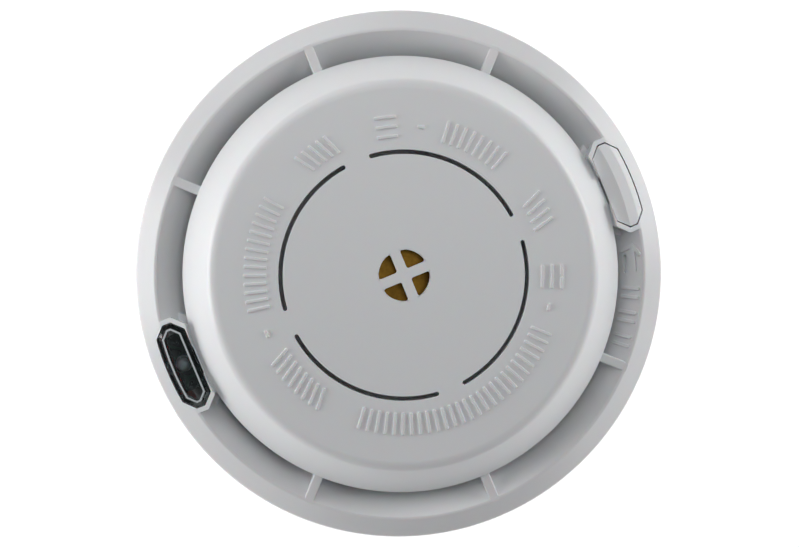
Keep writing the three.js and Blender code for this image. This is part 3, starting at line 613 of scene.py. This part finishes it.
def addSpokes():
    half = frontRing["spokeWidth"] / 2
    near, far = frontRing["spokeInner"], frontRing["rimInner"] + 0.9
    plan = roundedPolygon([(near, -half), (far, -half), (far, half), (near, half)], 0.35, 4)
    levels = roundTop(floorTop - 0.4, rimTop - 0.02, frontRing["spokeEdge"])
    return [loft("spoke", turnedBy(plan, angle), levels) for angle in frontRing["spokes"]]


def addWindowFrame(angle):
    # an upright collar round the window, on a wider foot
    upright = loft("collar", windowAt(angle, window["collar"]),
                   [(0, floorBottom), (0, window["rampTop"] + cutPast)])
    combine(upright, [windowEnvelope(window["step"])], "INTERSECT")
    foot = loft("foot", windowAt(angle, window["foot"]), roundTop(floorBottom, window["footTop"], 0.4))
    return [upright, foot]


def cutWindow(angle):
    # the opening itself, and room behind it for the flange of what fills it
    below = floorTop - 8
    room = windowAt(angle, window["flange"] + window["gap"])
    return [
        loft("well", windowAt(angle), [(0, below), (0, window["rampTop"] + 2 * cutPast)]),
        loft("room", room, [(0, below), (0, floorTop + 1.0)]),
    ]


def addChannelMarks():
    stroke, raised, sunk = channelMarks["stroke"], channelMarks["raised"], 0.3
    tip = channelMarks["arrowTip"]
    made = [slopeBar(other, tip, stroke, sunk, raised)
            for other in (channelMarks["arrowTail"], *channelMarks["wings"])]
    low, high = channelMarks["barReach"]
    made += [slopeBar((low, angle), (high, angle), stroke, sunk, raised) for angle in channelMarks["bars"]]
    return made


def cutPocket():
    radius, angle = channelMarks["pocket"]
    length, width = channelMarks["pocketSize"]
    spread = math.degrees(length / 2 / radius)
    return slopeBar((radius, angle - spread), (radius, angle + spread), width, 0.9, cutPast)


def buildFrontRing():
    ring = lathe("frontRing", ringSection(frontRing), fineRound)
    additions, cutters = addSpokes(), []
    for angle in (0, 180):
        additions += addWindowFrame(angle)
        cutters += cutWindow(angle)
    combine(ring, additions + addChannelMarks(), "UNION")
    combine(ring, cutters + [cutPocket()], "DIFFERENCE")
    return settle(ring, finishes["casing"], "head", ["front_ring"], 9)


buildFrontRing()
print("front ring made")

# The sounder cap: flat face with raised marks, soft shoulder, bevel, rolled edge, slots, sound hole.

cap = {
    "faceRadius": capRadius - 6.2, "edgeTop": capHigh[2] - 7.5, "edgeBottom": capHigh[2] - 9.6, "wall": 2.0,
    "shoulder": 3.2, "edgeRadius": 0.7, "slotCircle": 26.3, "slotWidth": 0.95, "slotSweep": 76,
    "holeRadius": 5.5, "crossBar": 2.2, "holeCorner": 0.5, "edgeSoftness": 0.08,
    "postRadius": 2.8, "posts": ((0, 36.1), (-31.3, -18.05), (31.3, -18.05)), "pilotRadius": 1.35,
    "pilotDepth": 9.3, "root": 0.5, "soundRing": (18.0, 19.6, 30.4), "ledge": (16.2, 19.6, 34.4),
}
faceMarks = {
    "circle": 31.7, "tall": 4.8, "stroke": 0.65, "wide": 2.6, "edge": 0.14,
    "pitch": {"ticks": 3.3, "slants": 3.3, "rungs": 6.6},
    "groups": (
        ("slants", -174, -142), ("ticks", -134, -40), ("rungs", -30, -16), ("slants", -7, 13),
        ("ticks", 23, 56), ("rungs", 68, 81), ("slants", 92, 114), ("ticks", 124, 175),
    ),
    "dashes": (-179.5, -35, 61),
}


def capSection(shape):
    # from the axis out over the face, down the bevel, round the edge and back along the inside
    inside = capRadius - shape["wall"]
    under = faceTop - shape["wall"]
    outline = [
        (0.0, faceTop), (shape["faceRadius"], faceTop), (capRadius, shape["edgeTop"]),
        (capRadius, shape["edgeBottom"]), (inside, shape["edgeBottom"]),
        (inside, shape["edgeTop"] - 0.4), (shape["faceRadius"] - 1.2, under), (0.0, under),
    ]
    corners = [0, shape["shoulder"], shape["edgeRadius"], 0.45, 0.3, 1.0, 2.0, 0]
    return roundedPolygon(outline, corners, 22)


def soundHoleOutline(shape):
    half = shape["crossBar"] / 2
    reach = math.sqrt(shape["holeRadius"]**2 - half**2)
    angle = math.degrees(math.atan2(half, reach))
    arc = arcPoints((0, 0), shape["holeRadius"], angle, 90 - angle, 15)
    points = np.concatenate([[(half, half)], arc])
    corners = np.zeros(len(points))
    corners[[0, 1, -1]] = shape["holeCorner"]
    return roundedPolygon(points, corners, 7)


def faceMark(kind, degrees):
    # plain strokes in a ring: an upright tick, a leaning tick, three rungs or a dash
    tall, wide, stroke = faceMarks["tall"] / 2, faceMarks["wide"] / 2, faceMarks["stroke"]
    strokes = {
        "ticks": [((-tall, 0), (tall, 0))],
        "slants": [((-tall, -wide / 2), (tall, wide / 2))],
        "rungs": [((x, -wide), (x, wide)) for x in (-tall + stroke / 2, 0, tall - stroke / 2)],
        "dash": [((0, -wide * 0.6), (0, wide * 0.6))],
    }[kind]
    return [faceStroke(start, end, degrees) for start, end in strokes]


def faceStroke(start, end, degrees):
    start, end = np.array(start, float), np.array(end, float)
    along = (end - start) / np.linalg.norm(end - start)
    side = np.array([-along[1], along[0]]) * faceMarks["stroke"] / 2
    plan = np.array([start - side, end - side, end + side, start + side]) + [faceMarks["circle"], 0]
    plan = roundedPolygon(plan, faceMarks["stroke"] * 0.3, 3)
    levels = roundTop(faceTop - 0.4, faceTop + markHeight, faceMarks["edge"], 0, 3)
    return loft("stroke", turnedBy(plan, degrees), levels)


def allFaceMarks():
    made = []
    for kind, first, last in faceMarks["groups"]:
        half = math.degrees(faceMarks["wide"] / faceMarks["circle"])
        count = round((last - first - 2 * half) / faceMarks["pitch"][kind]) + 1
        for degrees in np.linspace(first + half, last - half, count):
            made += faceMark(kind, degrees)
    for degrees in faceMarks["dashes"]:
        made += faceMark("dash", degrees)
    return made


def tubeOf(shape, top):
    inner, outer, bottom = shape
    return lathe("tube", [(inner, bottom), (outer, bottom), (outer, top), (inner, top)], 96)


def disc(spot, radius, bottom, top, count=32):
    around = arcPoints(spot, radius, 0, 360 - 360 / count, count)
    return loft("disc", around, [(0, bottom), (0, top)])


def capPosts(under):
    # the three screw posts and the blind holes up their middles
    posts = [disc(spot, cap["postRadius"], floorTop + 0.3, under + cap["root"]) for spot in cap["posts"]]
    top = floorTop + cap["pilotDepth"]
    return posts, [disc(spot, cap["pilotRadius"], floorTop, top, 20) for spot in cap["posts"]]


def faceOpenings(under):
    levels = flaredCutter(under - cutPast, faceTop, cap["edgeSoftness"])
    made = []
    for angle in (45, 135, 225, 315):
        outline = curvedSlot(cap["slotCircle"], cap["slotWidth"], angle, cap["slotSweep"])
        made.append(loft("slot", outline, levels))
    for angle in (0, 90, 180, 270):
        made.append(loft("hole", turnedBy(soundHoleOutline(cap), angle), levels))
    return made


def buildSounderCap():
    body = dome("sounderCap", capSection(cap), fineRound)
    under = faceTop - cap["wall"]
    rings = [tubeOf(cap[name], under + cap["root"]) for name in ("soundRing", "ledge")]
    posts, pilots = capPosts(under)
    combine(body, allFaceMarks() + rings + posts, "UNION")
    combine(body, pilots + faceOpenings(under), "DIFFERENCE")
    return settle(body, finishes["casing"], "head", ["sounder_cap"], 9)


buildSounderCap()
print("sounder cap made")

# The test button: a hollow cap flush in its window, over a flange, a collar and a stem.

button = {
    "wall": 1.5, "flangeThickness": 1.0, "stemRadius": 1.4, "collarRadius": 3.0,
    "cornerRadius": 0.3, "hollowTop": rimTop - 1.8,
}


def buildTestButton():
    low, high = extent("test_button")
    top = high[2]
    bottom = floorTop - 0.3
    spot = (window["middle"], 0)
    outline = windowAt(0, -window["gap"], button["cornerRadius"])
    body = loft("testButton", outline, [(0, bottom), (0, top + cutPast)])
    combine(body, [windowEnvelope(window["step"])], "INTERSECT")
    flangeTop = bottom + button["flangeThickness"]
    flange = loft("flange", windowAt(0, window["flange"]), [(0, bottom), (0, flangeTop)])
    inset = windowAt(0, -window["gap"] - button["wall"])
    hollow = loft("hollow", inset, [(0, bottom - cutPast), (0, button["hollowTop"])])
    stem = disc(spot, button["stemRadius"], low[2], button["hollowTop"] + 0.2)
    collar = disc(spot, button["collarRadius"], bottom, button["hollowTop"] + 0.2)
    combine(body, [flange], "UNION")
    combine(body, [hollow], "DIFFERENCE")
    combine(body, [collar, stem], "UNION")
    return settle(body, finishes["casing"], "button", ["test_button"], 9)


buildTestButton()
print("test button made")

# The indicator's lens: a clear block with a chamfered border, a frosted rib and a long hollow behind.

lens = {
    "chamfer": 0.9, "rib": 0.4, "ribHeight": 0.18, "roof": 1.2, "flangeThickness": 1.0, "cornerRadius": 0.25,
}


def lensShape(growth):
    # the window's octagon, drawn in on all sides
    return turnedBy(windowOutline(growth, lens["cornerRadius"]), 180)


def lensPrism(name, growth, bottom, lift):
    # an upright prism under the ramp, its top a given height above or below that surface
    prism = loft(name, lensShape, [(growth, bottom), (growth, window["rampTop"] + cutPast)])
    return combine(prism, [windowEnvelope(window["step"], lift)], "INTERSECT")


def buildIndicatorLens():
    bottom = floorTop - 0.3
    edge = -window["gap"]
    ribEdge = edge - lens["chamfer"]
    hollowEdge = ribEdge - lens["rib"]
    top = -lens["ribHeight"]
    body = lensPrism("indicatorLens", edge, bottom, top)
    flattenFaces(body)
    chamferEdges(body, lens["chamfer"], 62)
    flangeTop = bottom + lens["flangeThickness"]
    flange = loft("flange", windowAt(180, window["flange"]), [(0, bottom), (0, flangeTop)])
    hollow = lensPrism("hollow", hollowEdge, bottom - cutPast, top - lens["roof"])
    combine(body, [flange], "UNION")
    combine(body, [hollow], "DIFFERENCE")
    settle(body, finishes["clear"], "head", ["indicator_lens"], 12)
    rib = lensPrism("lensRib", ribEdge, bottom, 0)
    inside = loft("inside", lensShape, [(hollowEdge, bottom - 1), (hollowEdge, window["rampTop"] + 2)])
    under = lensPrism("under", 0, bottom - 2, top - 0.02)
    combine(rib, [inside, under], "DIFFERENCE")
    settle(rib, finishes["frosted"], "head", ["indicator_lens"], 12)


buildIndicatorLens()
print("lens made")

# The status indicator: a domed epoxy body with a foot rim.

indicator = {"radius": 1.5, "rim": 1.85, "rimHeight": 1.0}


def buildStatusLed():
    low, high = extent("status_led")
    radius, rim = indicator["radius"], indicator["rim"]
    t = np.radians(np.linspace(90, 0, 14))
    crown = [(radius * math.cos(a), high[2] - radius + radius * math.sin(a)) for a in t]
    foot = low[2]
    rimTopZ = foot + indicator["rimHeight"]
    outline = crown + [
        (radius, rimTopZ + 0.1), (rim - 0.1, rimTopZ), (rim, rimTopZ - 0.1), (rim, foot), (0, foot),
    ]
    body = dome("statusLed", outline, 48)
    body.data.transform(Matrix.Translation((-window["middle"] * mm, 0, 0)))
    return settle(body, finishes["led"], "head", ["status_led"], 40)


buildStatusLed()
print("indicator made")

# The mounting plate: a thin disc with four curved screw slots, a cable hole and four bayonet hooks.

plate = {
    "thickness": 2.6, "edge": 0.4, "cableHole": 16.0, "slotCircle": 30.0, "slotWidth": 4.8,
    "headWidth": 8.8, "headFloor": 1.1, "slotLength": 17.0, "flare": 0.25, "segments": 256,
    "hookInner": 49.1, "hookWallInner": 51.4, "hookOuter": 53.1,
    "hookUnder": 7.0, "hookTop": 8.5, "hookFrom": -8.6, "hookTo": 7.0, "stopTo": -6.4, "hookEdge": 0.25,
}


def sectorOutline(inner, outer, fromDeg, toDeg, count=14, corner=0.25):
    points = np.concatenate([arcPoints((0, 0), outer, fromDeg, toDeg, count),
                             arcPoints((0, 0), inner, toDeg, fromDeg, count)])
    corners = np.zeros(len(points))
    corners[[0, count - 1, count, -1]] = corner
    return roundedPolygon(points, corners, 4)


def addHook(centre):
    # a wall, a lip that reaches in over the head's lug, and a stop at one end
    base, shoulder = plate["thickness"] - 0.4, plate["hookTop"] - 0.5
    start, end, stop = (centre + plate[name] for name in ("hookFrom", "hookTo", "stopTo"))
    wall = sectorOutline(plate["hookWallInner"], plate["hookOuter"], start, end)
    lip = sectorOutline(plate["hookInner"], plate["hookOuter"], start, end)
    stopper = sectorOutline(plate["hookInner"], plate["hookOuter"], start, stop, 5)
    return [
        loft("wall", wall, [(0, base), (0, shoulder)]),
        loft("lip", lip, roundTop(plate["hookUnder"], plate["hookTop"], plate["hookEdge"])),
        loft("stopper", stopper, [(0, base), (0, shoulder)]),
    ]


def cutScrewSlot(angle):
    # a slot for the screw's shank, flared at the back, in a wider recess for its head
    top, flare = plate["thickness"], plate["flare"]
    sweep = math.degrees((plate["slotLength"] - plate["slotWidth"]) / plate["slotCircle"])
    slot = curvedSlot(plate["slotCircle"], plate["slotWidth"], angle, sweep, 20)
    head = curvedSlot(plate["slotCircle"], plate["headWidth"], angle, sweep, 20)
    return [
        loft("slot", slot, [(flare, -cutPast), (flare, 0), (0, flare), (0, top + cutPast)]),
        loft("head", head, flaredCutter(plate["headFloor"], top, flare)),
    ]


def buildMountingPlate():
    outer, top, hole = plateHigh[0], plate["thickness"], plate["cableHole"]
    outline = roundedPolygon([(hole, 0), (outer, 0), (outer, top), (hole, top)], plate["edge"], 5)
    body = lathe("mountingPlate", outline, plate["segments"])
    hooks = [piece for centre in (45, 135, 225, 315) for piece in addHook(centre)]
    slots = [piece for angle in (0, 90, 180, 270) for piece in cutScrewSlot(angle)]
    combine(body, hooks, "UNION")
    combine(body, slots, "DIFFERENCE")
    return settle(body, finishes["plate"], "mount", ["mounting_plate"], 34)


buildMountingPlate()
print("mounting plate made")

# The two heat sensors: an epoxy drop on a hairpin of tinned wire.

sensor = {
    "wire": 0.25, "spread": 0.8, "bend": 0.8, "straight": 5.0,
    "bead": 1.3, "tall": 1.15, "droop": 0.18,
}


def buildSensorLeads(number, x, y):
    low, high = extent(f"heat_sensor_leads_{number}")
    half, bottom = sensor["spread"], low[2]
    top = high[2] - sensor["wire"]
    shoulder, straight = top - sensor["bend"], bottom + sensor["straight"]
    path = [(x - half, y, bottom), (x - half, y, straight), (x - half, y, shoulder),
            (x - half * 0.5, y, top), (x + half * 0.5, y, top), (x + half, y, shoulder),
            (x + half, y, straight), (x + half, y, bottom)]
    leads = tube(f"heatSensorLeads{number}", path, sensor["wire"], 12, 90)
    settle(leads, finishes["tinned"], "head", [f"heat_sensor_leads_{number}"], 60)


def buildSensor(number):
    # the drop is a ball stretched upwards, whose lower half narrows towards the leads
    low, high = extent(f"heat_sensor_bead_{number}")
    centre = (low + high) / 2
    buildSensorLeads(number, centre[0], centre[1])
    t = np.radians(np.linspace(90, -90, 30))
    narrow = 1 - sensor["droop"] * np.maximum(-np.sin(t), 0)
    drop = np.stack([np.cos(t) * narrow, sensor["tall"] * np.sin(t)], 1) * sensor["bead"]
    drop[[0, -1], 0] = 0
    bead = dome(f"heatSensorBead{number}", drop, 40)
    bead.data.transform(Matrix.Translation(Vector(centre) * mm))
    settle(bead, finishes["bead"], "head", [f"heat_sensor_bead_{number}"], 60)


for number in (1, 2):
    buildSensor(number)
print("sensors made")

# The button's spring: a coil of steel wire with closed ends.

spring = {"wire": 0.22, "coil": 2.25, "turns": 5, "keep": 0.88, "steady": 0.35}


def buildButtonSpring():
    low, high = extent("button_spring")
    # the rise is part even and part (1 - cos) / 2, so the first and last turns lie close together
    t = np.linspace(0, 1, 240)
    closed = 0.5 - 0.5 * np.cos(math.pi * t)
    angle = t * 2 * math.pi * spring["turns"]
    bottom, top = low[2] + spring["wire"], high[2] - spring["wire"]
    rise = spring["steady"] * t + (1 - spring["steady"]) * closed
    path = np.stack([window["middle"] + spring["coil"] * np.cos(angle), spring["coil"] * np.sin(angle),
                     bottom + (top - bottom) * rise], 1)
    coil = sweptCircle("buttonSpring", path, spring["wire"], 12)
    settle(coil, finishes["steel"], "head", ["button_spring"], 60)
    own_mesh(coil)


buildButtonSpring()
print("spring made")

# The screws: pan heads with a cross recess, over a threaded shank.

screw = {
    "shank": 1.15, "headHeight": 1.6, "crown": 0.55, "pitch": 0.8, "threadDepth": 0.22,
    "crossWidth": 0.55, "crossReach": 1.35, "crossDepth": 1.0, "crossTaper": 0.12,
}


def screwProfile(radius, length):
    # from the crown of the head, down its side and along the thread to the tip
    tall, pitch = screw["headHeight"], screw["pitch"]
    outer, root = screw["shank"], screw["shank"] - screw["threadDepth"]
    t = np.radians(np.linspace(0, 90, 10))
    crown = [(radius * math.sin(a) if a else 0.0, -screw["crown"] * tall * (1 - math.cos(a))) for a in t]
    profile = crown + [(radius, -tall + 0.15), (radius - 0.15, -tall)]
    for i in range(int((length - tall) / pitch)):
        start = -tall - (i + 0.1) * pitch
        profile += [(root, start), (outer, start - pitch * 0.4), (root, start - pitch * 0.8)]
    return profile + [(0.0, -length)]


def crossCutters():
    wide, far = screw["crossWidth"] / 2, screw["crossReach"]
    made = []
    for a, b in ((wide, far), (far, wide)):
        plan = np.array([(-a, -b), (a, -b), (a, b), (-a, b)])
        made.append(loft("bar", plan, [(-screw["crossTaper"], -screw["crossDepth"]), (0, cutPast)]))
    return made


def buildScrew(nodeName, newName, headUp):
    low, high = extent(nodeName)
    centre = (low + high) / 2
    body = dome(newName, screwProfile((high[0] - low[0]) / 2, high[2] - low[2]), 32)
    combine(body, crossCutters(), "DIFFERENCE")
    turn = Matrix.Identity(4) if headUp else Matrix.Rotation(math.pi, 4, "X")
    place = Vector((centre[0], centre[1], high[2] if headUp else low[2])) * mm
    body.data.transform(Matrix.Translation(place) @ turn)
    settle(body, finishes["steel"], "head", [nodeName], 34)


screwFamilies = (
    ("housing_screw", "housingScrew", 4, False),
    ("cap_screw", "capScrew", 3, False),
    ("board_screw", "boardScrew", 3, True),
)
for family, camel, count, headUp in screwFamilies:
    for i in range(1, count + 1):
        buildScrew(f"{family}_{i}", f"{camel}{i}", headUp)
print("screws made")

# Stage, light and camera.

view = {
    "target": (0, 0, 30), "distance": 400, "tiltDeg": 4.2, "tiltTowards": 137.5, "upTowards": 67.5,
    "lens": 83.0, "shift": (-0.0028, 0.0006),
}


softbox = {"width": 0.45, "distance": 0.7}
stage = {"reach": 60, "glow": 0.65, "ambient": 0.08}


def direction(degrees, elevation=0.0):
    a, e = math.radians(degrees), math.radians(elevation)
    return Vector((math.cos(a) * math.cos(e), math.sin(a) * math.cos(e), math.sin(e)))


def makeCamera():
    data = bpy.data.cameras.new("camera")
    data.lens = view["lens"]
    data.sensor_width = 36
    data.shift_x, data.shift_y = view["shift"]
    data.clip_start, data.clip_end = 0.01, 10
    camera = bpy.data.objects.new("camera", data)
    bpy.context.scene.collection.objects.link(camera)
    away = direction(view["tiltTowards"], 90 - view["tiltDeg"])
    right = direction(view["upTowards"]).cross(away).normalized()
    turn = Matrix((right, away.cross(right), away)).transposed().to_4x4()
    spot = Vector(view["target"]) * mm + away * view["distance"] * mm
    camera.matrix_world = Matrix.Translation(spot) @ turn
    bpy.context.scene.camera = camera


def makeLight(name, towards, elevation, power, height=0.35):
    # a white softbox that faces the object from a compass direction and an angle above the floor
    data = bpy.data.lights.new(name, "AREA")
    data.shape = "RECTANGLE"
    data.size, data.size_y = softbox["width"], height
    data.energy = power
    lamp = bpy.data.objects.new(name, data)
    bpy.context.scene.collection.objects.link(lamp)
    away = direction(towards, elevation)
    turn = away.to_track_quat("Z", "Y").to_matrix().to_4x4()
    lamp.matrix_world = Matrix.Translation(away * softbox["distance"]) @ turn


def makeStage():
    mesh = bpy.data.meshes.new("floor")
    r = stage["reach"]
    mesh.from_pydata([(-r, -r, 0), (r, -r, 0), (r, r, 0), (-r, r, 0)], [], [(0, 1, 2, 3)])
    floor = bpy.data.objects.new("floor", mesh)
    bpy.context.scene.collection.objects.link(floor)
    material = startMaterial("whitePaper", **{
        "Roughness": 0.9, "Emission Color": (1, 1, 1, 1), "Emission Strength": stage["glow"],
        "Base Color": colour("#f4f4f4")})[0]
    floor.data.materials.append(material)
    world = bpy.data.worlds.new("softRoom")
    world.use_nodes = True
    background = world.node_tree.nodes["Background"]
    background.inputs["Color"].default_value = colour("#eef1f6")
    background.inputs["Strength"].default_value = stage["ambient"]
    bpy.context.scene.world = world
    bpy.context.scene.view_settings.view_transform = "Standard"


makeCamera()
makeStage()
makeLight("keySoftbox", 155, 16, 2.6)
makeLight("sideSoftbox", 90, 34, 0.7)
makeLight("fillSoftbox", 0, 16, 1.9)
makeLight("lowSoftbox", 310, 14, 0.65)
makeLight("backSoftbox", 215, 14, 0.4)
makeLight("topSoftbox", 60, 72, 0.72, 0.45)
print("stage made")
